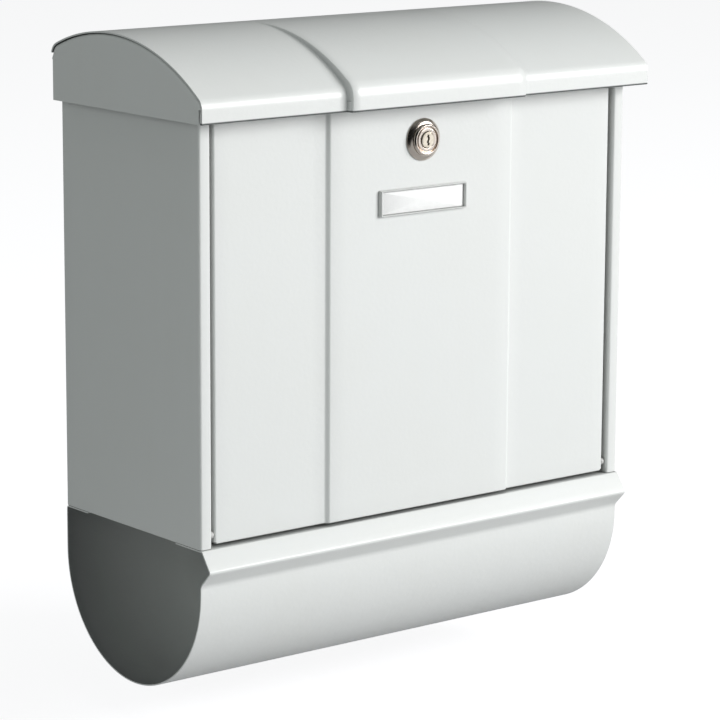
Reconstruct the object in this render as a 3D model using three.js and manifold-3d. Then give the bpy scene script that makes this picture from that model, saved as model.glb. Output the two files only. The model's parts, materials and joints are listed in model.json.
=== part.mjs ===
// Wall mounted mailbox in white powder-coated sheet steel, with a newspaper tube below.
// Millimetres, +Z up. X runs along the wall, Y into the wall, and the front faces -Y.
// The box is drawn with Z = 0 at its underside and Y = 0 at its back face. The finished
// group is lowered by half the box's height, which puts the origin at the middle of the
// back face.

import * as THREE from "three";
import * as BufferGeometryUtils from "three/addons/utils/BufferGeometryUtils.js";
import Module from "manifold-3d";

const wasm = await Module();
wasm.setup();

// ---------------------------------------------------------------- driving dimensions

const boxWidth = 360;
const boxHeight = 274;           // underside to the lid's lower edge
const boxDepth = 154;            // wall face to the front of the side rails
const sheet = 1;                 // every folded panel
const gap = 0.3;                 // between pieces that touch

const railWidth = 9;             // front edge of the side walls
const railReturn = 12;           // depth of the rail's inner flange

const doorSideGap = 3.3;         // door edge to the rail's inner flange
const doorBottomGap = 3;
const doorTopGap = 0.7;          // below the lid's lower edge
const doorSetback = 1.5;         // door face behind the rails' face
const doorFlange = 10;
const doorPanelHalf = 76;        // half width of the raised middle of the door
const doorPanelRise = 2.3;
const doorPanelSlope = 3.5;
const doorPinEdge = 0.5;         // metal between the door's skin and its hinge pin
const doorPivotUp = 5;           // hinge pin above the door's lower edge
const pinRadius = 1.5;
const pinHeadRadius = 3;
const pinHeadLength = 1.6;
const pinReach = 6;              // pin's length inside the door
const washerRadius = 2.4;

const lidSideGap = 7;            // side wall to gable
const lidFrontReach = 15;        // lid's front lip ahead of the rails
const lidLipHeight = 9.6;        // straight part of the lip
const lidShoulderHeight = 13.5;  // where the arc would meet the lip, above the lid's lower edge
const lidCrestBack = 67.2;       // crest to the wall
const lidCrestHeight = 49.5;     // above the lid's lower edge
const lidCurlRadius = 10;        // round the hinge rod
const lidCurlEnd = 15;           // degrees above level, where the curl stops
const lidWallGap = 0.7;
const lidPanelHalf = 72.8;       // half width of the raised middle of the lid
const lidPanelRise = 4.5;        // at the front lip, running out to nothing at the crest
const lidPanelSlope = 1.9;
const lidEndJog = 1;             // half height of the gable's step beside the rod
const lidFlange = 6;             // gable's inner flange
const rodRadius = 2.5;
const rodPast = 3.5;             // rod's end beyond the side wall
const clipRadius = 5.5;
const clipThickness = 1.2;
const bracketInset = 18;         // lid bracket to the side wall
const bracketLength = 34;
const bracketFlange = 9;
const bracketEye = 6;

const wallTopGap = 3;            // side wall's top edge below the lid
const curlSweepGap = 1.5;        // clear height kept round the lid's curl as it turns
const earGap = 0.8;              // side wall's ear to the inside of the curl

const floorFlange = 12;

const crossRailBelow = 12;       // cross rail's foot below the lid's lower edge
const crossRailAbove = 24;       // and its top above it
const crossRailGap = 1.2;        // its face behind the door's flange
const crossRailFlange = 14;
const crossRailLip = 5;

const guardFoot = 6;             // foot of the guard's back flange below the lid's lower edge
const guardBack = 8;             // guard's height at the wall above the lid's lower edge
const guardFront = 14;           // and at its front fold
const guardReach = 96;
const guardLipDrop = 32;
const guardLipBack = 8;
const guardTabBack = 20;
const guardTabShort = 4;         // tab's front end behind the front fold
const guardRivetInset = 10;      // rivet to the tab's end
const rivetRadius = 1.6;
const rivetHead = 3.2;
const rivetHeadHeight = 1;
const rivetBulb = 2.4;           // inside the wall
const rivetBulbHeight = 1.2;
const rivetHeight = 4;           // above the lid's lower edge

const tubeArcDrop = 29;          // centre of the tube's curve below the box
const tubeBeadOut = 10.5;        // nose of the bead ahead of the tube's face
const tubeBeadDrop = 13.2;
const tubeBeadHeight = 24;
const tubeFrontFlange = 28;
const tubeBackFlange = 25;
const tubeScrewX = 140;
const tubeScrewBack = 15;
const tubeScrewFront = 21;       // behind the rails' face
const screwRadius = 2;
const screwHeadRadius = 4;
const screwHeadHeight = 2.5;
const screwLength = 9;
const screwSlotWidth = 1;
const screwSlotDepth = 1.1;
const nutRadius = 4;
const nutHeight = 3.2;

const wallHoleRadius = 3.5;
const wallHoleX = 130;
const wallHoleInset = 39;        // from the box's lower and upper edge

const lockBelow = 24.5;          // lock's axis below the lid's lower edge
const rosetteRadius = 14;
const rosetteHeight = 2.6;
const rosetteFace = 11.4;        // radius of its flat face
const rosetteBevel = 12.8;       // radius where its edge begins
const lockHeadRadius = 10.6;
const lockHeadHeight = 1.9;
const lockChamfer = 0.7;
const barrelRadius = 8.5;
const plugRadius = 5.3;
const plugProud = 0.6;
const tangHalf = 3;
const camGap = 1.3;              // cam behind the cross rail
const camThickness = 1.5;
const camReach = 24;
const camHalfWidth = 7;
const camScrewRadius = 1.6;
const camScrewHead = 4.5;
const camScrewHeadHeight = 2;
const camScrewLength = 5;
const lockNutRadius = 12.4;
const lockNutHeight = 3;
const keySlotWidth = 1.3;
const keySlotHeight = 7;
const keySlotDepth = 14;

const plateWidth = 74;
const plateHeight = 17.5;
const plateDepth = 2.2;
const plateBorder = 2.4;         // at its two ends
const plateRim = 1.2;            // along its top and bottom
const plateBelow = 64.2;         // name plate's middle below the lid's lower edge
const platePinRadius = 1;
const cardThickness = 0.4;
const windowThickness = 0.9;

const bufferX = 120;
const bufferRadius = 4;
const bufferStem = 1.7;
const bufferBulb = 2.6;          // below the cross rail's flange
const bufferBulbHeight = 2.2;

// ---------------------------------------------------------------- derived places

const halfWidth = boxWidth / 2;
const lidZ = boxHeight;
const frontY = -boxDepth;
const insideX = halfWidth - sheet;

const railInnerX = halfWidth - railWidth;
const doorHalf = railInnerX - doorSideGap;
const doorY = frontY + doorSetback;
const doorFaceY = doorY - doorPanelRise;
const doorBottom = doorBottomGap;
const doorTop = lidZ - doorTopGap;
const doorPivotY = doorY + sheet + doorPinEdge + pinRadius;
const doorPivotZ = doorBottom + doorPivotUp;

const lidHalf = halfWidth + lidSideGap + sheet;
const lidFrontY = frontY - lidFrontReach;
const arcY = -lidCrestBack;
const arcRise = lidCrestHeight - lidShoulderHeight;
const lidArcRadius = ((arcY - lidFrontY) ** 2 + arcRise ** 2) / (2 * arcRise);
const arcZ = lidZ + lidCrestHeight - lidArcRadius;
const rodY = -lidWallGap - lidCurlRadius;
const rodZ = arcZ + Math.sqrt((lidArcRadius - lidCurlRadius) ** 2 - (rodY - arcY) ** 2);
const curlStart = Math.atan2(rodZ - arcZ, rodY - arcY);

const crossRailY = doorY + doorFlange + crossRailGap;
const crossRailTop = lidZ + crossRailAbove;
const lockZ = lidZ - lockBelow;
const plateZ = lidZ - plateBelow;

// ---------------------------------------------------------------- materials

const finish = (color, roughness, metalness) => ({ color, roughness, metalness });
const paint = finish(0xe9ebe9, 0.42, 0.0);
const steel = finish(0xa9adb0, 0.35, 1.0);
const nickel = finish(0xb9aa9c, 0.22, 1.0);
const nylon = finish(0xd9dad6, 0.55, 0.0);
const rubber = finish(0x2b2c2d, 0.8, 0.0);
const paper = finish(0xf4f4f0, 0.9, 0.0);
const clear = finish(0xf0f4f4, 0.08, 0.0);

// ---------------------------------------------------------------- shape helpers

const largeRadius = 20;          // circles past this get finer steps
const joinDepth = 0.5;           // how far joined solids of one piece run into each other

const point = (x, y) => new THREE.Vector2(x, y);
const axisX = new THREE.Vector3(1, 0, 0);
const axisY = new THREE.Vector3(0, 1, 0);
const axisZ = new THREE.Vector3(0, 0, 1);

// A closed geometry as a solid that can be joined and cut.
function solid(geometry) {
  const bare = geometry.clone();
  bare.deleteAttribute("normal");
  bare.deleteAttribute("uv");
  const merged = BufferGeometryUtils.mergeVertices(bare, 1e-4);
  return new wasm.Manifold(new wasm.Mesh({
    numProp: 3,
    vertProperties: new Float32Array(merged.attributes.position.array),
    triVerts: new Uint32Array(merged.index.array),
  }));
}

function geometryOf(body) {
  const mesh = body.getMesh();
  const geometry = new THREE.BufferGeometry();
  geometry.setAttribute("position", new THREE.BufferAttribute(mesh.vertProperties, 3));
  geometry.setIndex(new THREE.BufferAttribute(mesh.triVerts, 1));
  geometry.computeVertexNormals();
  return geometry;
}

function extrude(shape, depth) {
  return new THREE.ExtrudeGeometry(shape, { depth, bevelEnabled: false });
}

// An outline in (y, z) carried along X, one in (x, z) along Y, and one in (x, y) along Z.
function alongX(shape, from, to) {
  const geometry = extrude(shape, to - from);
  geometry.applyMatrix4(new THREE.Matrix4().makeBasis(axisY, axisZ, axisX));
  return solid(geometry.translate(from, 0, 0));
}

function alongY(shape, from, to) {
  const geometry = extrude(shape, to - from);
  geometry.applyMatrix4(new THREE.Matrix4().makeBasis(axisX, axisZ, axisY.clone().negate()));
  return solid(geometry.translate(0, to, 0));
}

function alongZ(shape, from, to) {
  return solid(extrude(shape, to - from).translate(0, 0, from));
}

function polygon(...corners) {
  return new THREE.Shape(corners.map(([x, y]) => point(x, y)));
}

function rectangle(x0, y0, x1, y1) {
  return polygon([x0, y0], [x1, y0], [x1, y1], [x0, y1]);
}

function circle(x, y, radius) {
  const steps = radius > largeRadius ? 120 : 20;
  return new THREE.Shape(arc(x, y, radius, 0, 2 * Math.PI, steps).slice(1));
}

function hexagon(x, y, radius) {
  const turns = [0, 1, 2, 3, 4, 5].map((i) => (i * Math.PI) / 3);
  return polygon(...turns.map((a) => [x + radius * Math.cos(a), y + radius * Math.sin(a)]));
}

function box(x0, x1, y0, y1, z0, z1) {
  return alongZ(rectangle(x0, y0, x1, y1), z0, z1);
}

// A hole's outline in (y, z) as a cutter that passes through both side walls.
function throughWalls(shape) {
  return alongX(shape, -halfWidth - 1, halfWidth + 1);
}

// Points on an arc, both ends included, angles in radians.
function arc(x, y, radius, start, end, steps) {
  const points = [];
  for (let i = 0; i <= steps; i += 1) {
    const angle = start + ((end - start) * i) / steps;
    points.push(point(x + radius * Math.cos(angle), y + radius * Math.sin(angle)));
  }
  return points;
}

// The same path moved sideways, to its right for a positive distance, mitred at bends.
function offset(path, distance) {
  return path.map((here, i) => {
    const from = path[Math.max(i - 1, 0)];
    const to = path[Math.min(i + 1, path.length - 1)];
    const before = here.clone().sub(i === 0 ? here.clone().multiplyScalar(2).sub(to) : from).normalize();
    const after = (i === path.length - 1 ? here.clone().multiplyScalar(2).sub(from) : to).clone()
      .sub(here).normalize();
    const side = point(before.y + after.y, -before.x - after.x).normalize();
    const stretch = distance / (side.x * before.y - side.y * before.x);
    return here.clone().addScaledVector(side, stretch);
  });
}

// A sheet's section: the path is its outer face and the sheet lies to the path's right.
function folded(path, thickness = sheet) {
  return new THREE.Shape([...path, ...offset(path, thickness).reverse()]);
}

function turnedAbout(x, z, profile, segments = 28) {
  const points = profile.map(([radius, y]) => point(radius, y));
  return solid(new THREE.LatheGeometry(points, segments).translate(x, 0, z));
}

const mailbox = new THREE.Group();

function add(name, body, look) {
  const material = new THREE.MeshStandardMaterial(look);
  const mesh = new THREE.Mesh(body.isBufferGeometry ? body : geometryOf(body), material);
  mesh.name = name;
  mailbox.add(mesh);
}

const sides = [["left", -1], ["right", 1]];

// Mirrors a solid made for the right-hand side when the side is -1.
const onSide = (body, side) => (side > 0 ? body : body.mirror([1, 0, 0]));

// ---------------------------------------------------------------- lid outline

// The lid's outer face from the front lip's foot to the end of the curl, or the same
// outline drawn inwards by some distance, as (y, z).
function lidPath(inward) {
  const radius = lidArcRadius - inward;
  const lipY = lidFrontY + inward;
  const lipTop = point(lipY, lidZ + lidLipHeight);
  const meet = Math.acos((lipY - arcY) / radius);
  const lean = (lidArcRadius - lidCurlRadius) / lidArcRadius;
  const bend = new THREE.QuadraticBezierCurve(
    lipTop,
    point(lipY, arcZ + radius * Math.sin(meet)),
    point(arcY + radius * Math.cos(meet - 0.025 * lean), arcZ + radius * Math.sin(meet - 0.025 * lean)),
  );
  const curl = arc(rodY, rodZ, lidCurlRadius - inward, curlStart, THREE.MathUtils.degToRad(lidCurlEnd), 6);
  return [
    point(lipY, lidZ),
    ...bend.getPoints(5),
    ...arc(arcY, arcZ, radius, meet - 0.05 * lean, curlStart, 26),
    ...curl.slice(1),
  ];
}

// ---------------------------------------------------------------- box

function bodyShell() {
  // One folded strip: rail flange, rail, side wall, half the back, mirrored for the rest.
  const right = [
    [railInnerX, frontY + railReturn],
    [railInnerX, frontY],
    [halfWidth, frontY],
    [halfWidth, 0],
  ];
  const left = right.map(([x, y]) => [-x, y]);
  const path = [...left, ...right.reverse()].map(([x, y]) => point(x, y));
  const strip = alongZ(folded(path), 0, rodZ + lidCurlRadius);
  const underLid = alongX(circle(arcY, arcZ, lidArcRadius - sheet - wallTopGap), -halfWidth, halfWidth);
  const upToLid = box(-halfWidth, halfWidth, -boxDepth, 0, 0, lidZ);
  const sweep = lidCurlRadius + curlSweepGap;
  const earRadius = lidCurlRadius - sheet - earGap;
  const curlSpace = box(-halfWidth, halfWidth, rodY, 1, rodZ - sweep, rodZ + sweep)
    .subtract(alongX(circle(rodY, rodZ, earRadius), -halfWidth, halfWidth));
  let shell = strip.intersect(underLid.add(upToLid)).subtract(curlSpace);
  shell = shell.subtract(throughWalls(circle(rodY, rodZ, rodRadius + gap)));
  shell = shell.subtract(alongX(circle(doorPivotY, doorPivotZ, pinRadius + gap), -insideX, insideX));
  for (const x of [-wallHoleX, wallHoleX]) {
    for (const z of [wallHoleInset, boxHeight - wallHoleInset]) {
      shell = shell.subtract(alongY(circle(x, z, wallHoleRadius), -2 * sheet, sheet));
    }
  }
  for (const y of guardRivetY) {
    shell = shell.subtract(throughWalls(circle(y, rivetZ, rivetRadius + gap)));
  }
  return shell;
}

const screwPlaces = [
  [-tubeScrewX, -tubeScrewBack],
  [tubeScrewX, -tubeScrewBack],
  [-tubeScrewX, frontY + tubeScrewFront],
  [tubeScrewX, frontY + tubeScrewFront],
];

function screwHoles(body) {
  const hole = (x, y) => alongZ(circle(x, y, screwRadius + gap), -2 * sheet, 2 * sheet);
  return screwPlaces.reduce((rest, [x, y]) => rest.subtract(hole(x, y)), body);
}

function floorTray() {
  const halfX = insideX - gap;
  const back = -sheet - gap;
  const plate = box(-halfX, halfX, frontY + railReturn + gap, back, 0, sheet);
  const backFlange = box(-halfX, halfX, back - sheet, back, 0, floorFlange);
  const sideFlange = box(halfX - sheet, halfX, frontY + railReturn + gap, back, 0, floorFlange);
  return screwHoles(plate.add(backFlange).add(sideFlange).add(sideFlange.mirror([1, 0, 0])));
}

function crossRail() {
  const halfX = railInnerX - gap;
  const path = [
    point(crossRailY, lidZ - crossRailBelow),
    point(crossRailY, crossRailTop),
    point(crossRailY + crossRailFlange, crossRailTop),
    point(crossRailY + crossRailFlange, crossRailTop - crossRailLip),
  ];
  let rail = alongX(folded(path), -halfX, halfX);
  for (const x of [-bufferX, bufferX]) {
    const hole = circle(x, bufferY, bufferStem + gap);
    rail = rail.subtract(alongZ(hole, crossRailTop - 2 * sheet, crossRailTop + sheet));
  }
  return rail;
}

const guardTabFront = guardReach - guardTabShort;
const guardRivetY = [-guardTabBack - guardRivetInset, -guardTabFront + guardRivetInset];
const rivetZ = lidZ + rivetHeight;

function letterGuard() {
  const back = -sheet - gap;
  const fold = point(-guardReach, lidZ + guardFront);
  const path = [
    point(back - sheet, lidZ - guardFoot),
    point(back - sheet, lidZ + guardBack - sheet),
    point(fold.x, fold.y - sheet),
    point(fold.x + guardLipBack, fold.y - guardLipDrop),
  ];
  const halfX = insideX - gap;
  const plate = alongX(folded(path), -halfX, halfX);
  const slope = (guardFront - guardBack) / (guardReach + back);
  const under = (y) => lidZ + guardBack + slope * (back - y) - sheet;
  const tab = alongX(polygon(
    [-guardTabBack, lidZ],
    [-guardTabBack, under(-guardTabBack) + sheet / 2],
    [-guardTabFront, under(-guardTabFront) + sheet / 2],
    [-guardTabFront, lidZ],
  ), halfX - sheet, halfX);
  let guard = plate.add(tab).add(tab.mirror([1, 0, 0]));
  for (const y of guardRivetY) {
    guard = guard.subtract(throughWalls(circle(y, rivetZ, rivetRadius + gap)));
  }
  return guard;
}

// A blind rivet through the guard's tab and the side wall, on the right.
function guardRivet(y) {
  const bulbX = insideX - 2 * gap - sheet;
  const headX = halfWidth + gap;
  return alongX(circle(y, rivetZ, rivetRadius), bulbX - joinDepth, headX + joinDepth)
    .add(alongX(circle(y, rivetZ, rivetHead), headX, headX + rivetHeadHeight))
    .add(alongX(circle(y, rivetZ, rivetBulb), bulbX - rivetBulbHeight, bulbX));
}

// ---------------------------------------------------------------- newspaper tube

function newspaperTube() {
  const top = -gap;
  const tubeRadius = boxDepth / 2;
  const arcTop = -tubeArcDrop;
  const path = [
    point(-tubeBackFlange, top),
    point(0, top),
    ...arc(-tubeRadius, arcTop, tubeRadius, 0, -Math.PI, 40),
    point(frontY, -tubeBeadHeight),
    point(frontY - tubeBeadOut, -tubeBeadDrop - 0.8),
    point(frontY - tubeBeadOut, -tubeBeadDrop + 0.8),
    point(frontY - 1, top),
    point(frontY + tubeFrontFlange, top),
  ];
  return screwHoles(alongX(folded(path), -halfWidth, halfWidth));
}

function tubeScrew(x, y) {
  const seat = sheet + gap;
  const top = seat + screwHeadHeight;
  const slot = box(
    x - screwHeadRadius, x + screwHeadRadius,
    y - screwSlotWidth / 2, y + screwSlotWidth / 2,
    top - screwSlotDepth, top + 1,
  );
  return alongZ(circle(x, y, screwHeadRadius), seat, top)
    .subtract(slot)
    .add(alongZ(circle(x, y, screwRadius), seat - screwLength, seat + joinDepth));
}

function tubeNut(x, y) {
  const top = -sheet - 2 * gap;
  const nut = alongZ(hexagon(x, y, nutRadius), top - nutHeight, top);
  return nut.subtract(alongZ(circle(x, y, screwRadius + gap), top - nutHeight - 1, top + 1));
}

// ---------------------------------------------------------------- lid

// The lid sheet is a block of columns across the lid, rows along its section and two
// layers, its inner and outer face. The middle columns are pushed out to raise the panel,
// less and less from the front lip to the crest.
function lidSheet() {
  const outer = lidPath(0);
  const faces = (lift) => [offset(outer, sheet - lift), offset(outer, -lift)];
  const flat = faces(0);
  const raised = faces(lidPanelRise);
  const taper = outer.map(({ x: y }) => Math.max(0, (arcY - y) / (arcY - lidFrontY)));
  const edge = lidPanelHalf + lidPanelSlope;
  const columns = [-lidHalf, -edge, -lidPanelHalf, lidPanelHalf, edge, lidHalf];
  const geometry = new THREE.BoxGeometry(1, 1, 1, columns.length - 1, outer.length - 1, 1);
  const position = geometry.attributes.position;
  for (let i = 0; i < position.count; i += 1) {
    const x = columns[Math.round((position.getX(i) + 0.5) * (columns.length - 1))];
    const row = Math.round((position.getY(i) + 0.5) * (outer.length - 1));
    const layer = Math.round(position.getZ(i) + 0.5);
    const share = Math.abs(x) <= lidPanelHalf ? taper[row] : 0;
    const place = flat[layer][row].clone().lerp(raised[layer][row], share);
    position.setXYZ(i, x, place.x, place.y);
  }
  return solid(geometry);
}

// A pressed gable: a flat plate with a flange that follows the underside of the lid sheet.
function lidEnd() {
  const inward = sheet + gap;
  const edge = lidPath(inward);
  const backY = -lidWallGap;
  const last = edge[edge.length - 1];
  const plate = alongX(new THREE.Shape([
    ...edge,
    point(last.x, rodZ + lidEndJog),
    point(backY, rodZ - lidEndJog),
    point(backY, lidZ),
  ]), lidHalf - sheet, lidHalf);
  const flange = alongX(folded(edge), lidHalf - sheet - lidFlange, lidHalf - sheet / 2);
  return plate.add(flange);
}

// The right-hand bracket that hangs the lid on the hinge rod.
function lidBracket() {
  const x = halfWidth - bracketInset;
  const flangeX = x - sheet - bracketFlange;
  const underSkin = lidArcRadius - sheet - gap;
  const front = rodY - bracketLength;
  const above = lidZ + lidCrestHeight;
  const web = alongX(rectangle(front, rodZ - bracketEye, rodY, above), x - sheet, x);
  const flange = alongX(rectangle(front, rodZ, rodY, above), flangeX, x)
    .subtract(alongX(circle(arcY, arcZ, underSkin - sheet), flangeX - 1, x + 1));
  const eye = alongX(circle(rodY, rodZ, bracketEye), x - sheet, x);
  return web.add(flange)
    .intersect(alongX(circle(arcY, arcZ, underSkin), flangeX - 1, x + 1))
    .add(eye)
    .subtract(throughWalls(circle(rodY, rodZ, rodRadius + gap)));
}

function ring(y, z, inner, outer, from, to) {
  return alongX(circle(y, z, outer), from, to).subtract(alongX(circle(y, z, inner), from - 1, to + 1));
}

// A rubber buffer on the cross rail, where the closed lid comes to rest.
const bufferY = crossRailY + crossRailFlange / 2;
const bufferEdge = bufferY - bufferRadius - arcY;
const bufferTop = arcZ + Math.sqrt((lidArcRadius - sheet - gap) ** 2 - bufferEdge ** 2);

function lidBuffer(x) {
  const foot = crossRailTop + gap;
  const under = crossRailTop - sheet - gap;
  return alongZ(circle(x, bufferY, bufferRadius), foot, bufferTop)
    .add(alongZ(circle(x, bufferY, bufferStem), under - joinDepth, foot + joinDepth))
    .add(alongZ(circle(x, bufferY, bufferBulb), under - bufferBulbHeight, under));
}

// ---------------------------------------------------------------- door

const platePinX = (plateWidth - plateBorder) / 2;
const platePinEnd = doorFaceY + 2 * sheet;
const plateHoles = [[-platePinX, plateZ], [platePinX, plateZ]];

function doorPanel() {
  // The door's section seen from above, left to right, with the raised middle.
  const inner = doorPanelHalf;
  const outer = doorPanelHalf + doorPanelSlope;
  const face = [
    point(doorHalf, doorY),
    point(outer, doorY),
    point(inner, doorFaceY),
    point(-inner, doorFaceY),
    point(-outer, doorY),
    point(-doorHalf, doorY),
  ];
  const backY = doorY + doorFlange;
  const path = [point(doorHalf, backY), ...face, point(-doorHalf, backY)];
  const filled = new THREE.Shape(path);
  let door = alongZ(folded(path), doorBottom, doorTop)
    .add(alongZ(filled, doorBottom, doorBottom + sheet))
    .add(alongZ(filled, doorTop - sheet, doorTop));
  door = door.subtract(alongX(circle(doorPivotY, doorPivotZ, pinRadius + gap), -halfWidth, halfWidth));
  door = door.subtract(alongY(circle(0, lockZ, barrelRadius + gap), doorFaceY - 1, doorY + 2 * sheet));
  for (const [x, z] of plateHoles) {
    door = door.subtract(alongY(circle(x, z, platePinRadius + gap), doorFaceY - 1, doorY + 2 * sheet));
  }
  return door;
}

// The right-hand hinge pin, riveted in the rail's flange, with its head inside the rail.
function doorPin() {
  const headX = railInnerX + sheet + gap;
  return alongX(circle(doorPivotY, doorPivotZ, pinRadius), doorHalf - pinReach, headX + joinDepth)
    .add(alongX(circle(doorPivotY, doorPivotZ, pinHeadRadius), headX, headX + pinHeadLength));
}

// ---------------------------------------------------------------- name plate

const plateBack = doorFaceY - gap;
const plateFront = plateBack - plateDepth;

function plateFrame() {
  const outerX = plateWidth / 2;
  const outerZ = plateHeight / 2;
  const innerX = outerX - plateBorder;
  const innerZ = outerZ - plateRim;
  const border = rectangle(-outerX, plateZ - outerZ, outerX, plateZ + outerZ);
  const opening = rectangle(-innerX, plateZ - innerZ, innerX, plateZ + innerZ);
  let frame = alongY(border, plateFront, plateBack)
    .subtract(alongY(opening, plateFront - 1, plateBack + 1));
  for (const [x, z] of plateHoles) {
    frame = frame.add(alongY(circle(x, z, platePinRadius), plateBack - 1, platePinEnd));
  }
  return frame;
}

function plateInsert(front, back) {
  const halfX = plateWidth / 2 - plateBorder - gap;
  const halfZ = plateHeight / 2 - plateRim - gap;
  return alongY(rectangle(-halfX, plateZ - halfZ, halfX, plateZ + halfZ), front, back);
}

// ---------------------------------------------------------------- lock

const rosetteBack = doorFaceY - gap;
const rosetteFront = rosetteBack - rosetteHeight;
const headBack = rosetteFront - gap;
const headFront = headBack - lockHeadHeight;
const plugFront = headFront - plugProud;
const camFront = crossRailY + sheet + camGap;
const camBack = camFront + camThickness;
const barrelEnd = camFront - 2 * gap;
const boreRadius = plugRadius + gap;

function lockRosette() {
  const hole = barrelRadius + gap;
  return turnedAbout(0, lockZ, [
    [hole, rosetteBack],
    [hole, rosetteFront],
    [rosetteFace, rosetteFront],
    [rosetteBevel, rosetteFront + lockChamfer],
    [rosetteRadius, rosetteBack - lockChamfer],
    [rosetteRadius, rosetteBack],
    [hole, rosetteBack],
  ]);
}

function lockHousing() {
  return turnedAbout(0, lockZ, [
    [boreRadius, barrelEnd],
    [boreRadius, headFront],
    [lockHeadRadius - lockChamfer, headFront],
    [lockHeadRadius, headFront + lockChamfer],
    [lockHeadRadius, headBack],
    [barrelRadius, headBack],
    [barrelRadius, barrelEnd],
    [boreRadius, barrelEnd],
  ]);
}

function lockNut() {
  const back = doorFaceY + sheet + gap;
  const nut = alongY(hexagon(0, lockZ, lockNutRadius), back, back + lockNutHeight);
  return nut.subtract(alongY(circle(0, lockZ, barrelRadius + gap), back - 1, back + lockNutHeight + 1));
}

function lockPlug() {
  const barrel = alongY(circle(0, lockZ, plugRadius), plugFront, barrelEnd + gap);
  const square = rectangle(-tangHalf, lockZ - tangHalf, tangHalf, lockZ + tangHalf);
  const tang = alongY(square, barrelEnd, camBack);
  const keySlot = box(
    -keySlotWidth / 2, keySlotWidth / 2,
    plugFront - 1, plugFront + keySlotDepth,
    lockZ - keySlotHeight / 2, lockZ + keySlotHeight / 2,
  );
  const holeEnd = camBack - camScrewLength - 1;
  const screwHole = alongY(circle(0, lockZ, camScrewRadius + gap), holeEnd, camBack + 1);
  return barrel.add(tang).subtract(keySlot).subtract(screwHole);
}

// The cam points sideways when the lock is open, and up behind the cross rail when shut.
function lockCam() {
  const hole = tangHalf + gap;
  return alongY(circle(0, lockZ, camHalfWidth), camFront, camBack)
    .add(alongY(rectangle(0, lockZ - camHalfWidth, camReach, lockZ + camHalfWidth), camFront, camBack))
    .subtract(alongY(rectangle(-hole, lockZ - hole, hole, lockZ + hole), camFront - 1, camBack + 1));
}

function camScrew() {
  const seat = camBack + gap;
  return alongY(circle(0, lockZ, camScrewHead), seat, seat + camScrewHeadHeight)
    .add(alongY(circle(0, lockZ, camScrewRadius), seat - camScrewLength, seat + joinDepth));
}

// ---------------------------------------------------------------- assembly

add("body_shell", bodyShell(), paint);
add("floor_tray", floorTray(), paint);
add("cross_rail", crossRail(), paint);
add("letter_guard", letterGuard(), paint);
add("newspaper_tube", newspaperTube(), paint);

screwPlaces.forEach(([x, y], i) => {
  add(`tube_screw_${i + 1}`, tubeScrew(x, y), steel);
  add(`tube_nut_${i + 1}`, tubeNut(x, y), steel);
});

for (const [name, side] of sides) {
  guardRivetY.forEach((y, i) => add(`guard_rivet_${name}_${i + 1}`, onSide(guardRivet(y), side), steel));
}

add("lid_sheet", lidSheet(), paint);
const clipX = halfWidth + gap;
for (const [name, side] of sides) {
  add(`lid_end_${name}`, onSide(lidEnd(), side), paint);
  add(`lid_bracket_${name}`, onSide(lidBracket(), side), paint);
  const clip = ring(rodY, rodZ, rodRadius + gap, clipRadius, clipX, clipX + clipThickness);
  add(`rod_clip_${name}`, onSide(clip, side), steel);
  add(`lid_buffer_${name}`, lidBuffer(side * bufferX), rubber);
}
const rodEnd = halfWidth + rodPast;
add("lid_hinge_rod", alongX(circle(rodY, rodZ, rodRadius), -rodEnd, rodEnd), steel);

add("door_panel", doorPanel(), paint);
for (const [name, side] of sides) {
  add(`door_pin_${name}`, onSide(doorPin(), side), steel);
  const bore = pinRadius + gap;
  const washer = ring(doorPivotY, doorPivotZ, bore, washerRadius, doorHalf + gap, railInnerX - gap);
  add(`door_washer_${name}`, onSide(washer, side), nylon);
}

add("nameplate_frame", plateFrame(), nylon);
add("name_card", plateInsert(plateBack - cardThickness, plateBack), paper);
add("nameplate_window", plateInsert(plateFront + gap, plateFront + gap + windowThickness), clear);

add("lock_rosette", lockRosette(), nickel);
add("lock_housing", lockHousing(), nickel);
add("lock_nut", lockNut(), steel);
add("lock_plug", lockPlug(), nickel);
add("lock_cam", lockCam(), steel);
add("cam_screw", camScrew(), steel);

mailbox.position.z = -boxHeight / 2;
mailbox.updateMatrixWorld(true);

export default mailbox;
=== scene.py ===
import json
import math
import bpy
import numpy as np
from mathutils import Matrix, Vector


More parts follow.
